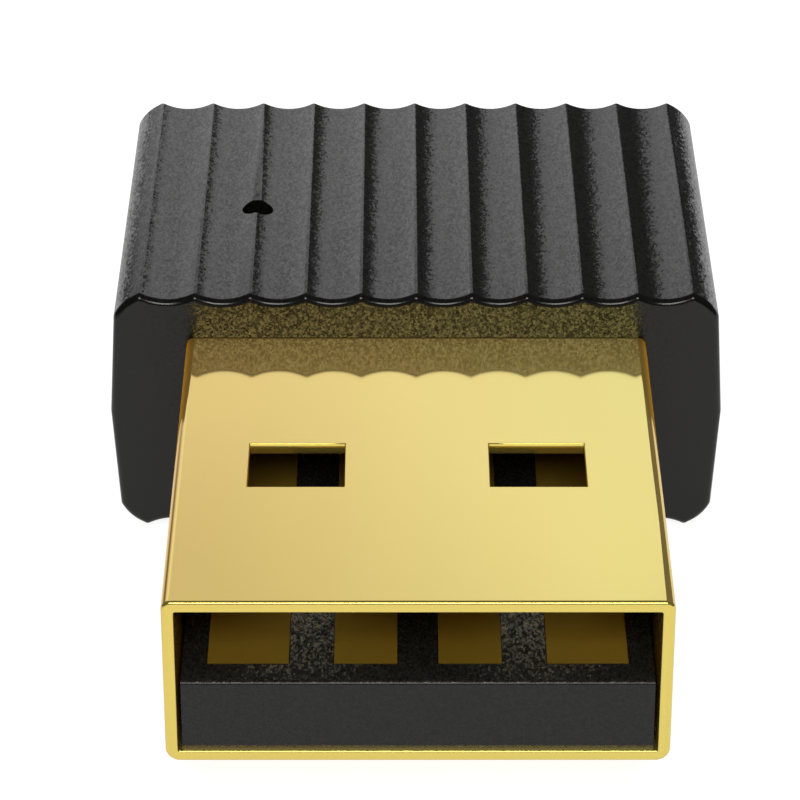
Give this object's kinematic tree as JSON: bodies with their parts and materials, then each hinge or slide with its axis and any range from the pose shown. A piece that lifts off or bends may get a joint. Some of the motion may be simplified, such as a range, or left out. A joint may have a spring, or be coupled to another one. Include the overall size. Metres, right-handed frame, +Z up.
{
  "type": "usb wireless adapter",
  "caption": "Short fluted black housing with a gold-plated type A plug, a light hole in its roof and a small radio circuit board inside.",
  "frame": {"origin": "on the plug's centre line, in the plane of the housing's front face", "axes": "+Y away from the plug, towards the housing's back; X across the plug; +Z up, the side with the light hole"},
  "size_m": [0.0162, 0.0244, 0.007],
  "materials": {
    "housing_plastic": "black moulded plastic with a fine eroded grain, smooth on the front face",
    "shell_gold": "bright gold plating on folded sheet, nearly a mirror",
    "insulator_plastic": "black moulded plastic, satin",
    "contact_gold": "gold-plated spring strip, bright",
    "board_laminate": "glass laminate under green solder resist",
    "antenna_copper": "printed copper under clear resist",
    "chip_resin": "black moulding resin",
    "crystal_metal": "plated lid, satin",
    "lamp_resin": "milky clear resin, unlit",
    "resistor_ceramic": "dark glaze with tinned ends",
    "capacitor_ceramic": "tan ceramic with tinned ends",
    "coil_ferrite": "grey ferrite with tinned ends"
  },
  "bodies": {
    "root": {"housing": "housing_plastic", "rear_cover": "housing_plastic", "plug_shell": "shell_gold", "plug_insulator": "insulator_plastic", "contact_power": "contact_gold", "contact_data_minus": "contact_gold", "contact_data_plus": "contact_gold", "contact_ground": "contact_gold", "circuit_board": "board_laminate", "antenna": "antenna_copper", "radio_chip": "chip_resin", "crystal": "crystal_metal", "status_led": "lamp_resin", "led_resistor": "resistor_ceramic", "bus_capacitor": "capacitor_ceramic", "power_coil": "coil_ferrite", "core_capacitor": "capacitor_ceramic", "chip_capacitor": "capacitor_ceramic", "crystal_capacitor_left": "capacitor_ceramic", "crystal_capacitor_right": "capacitor_ceramic", "matching_coil": "coil_ferrite", "matching_capacitor": "capacitor_ceramic"}
  },
  "joints": []
}
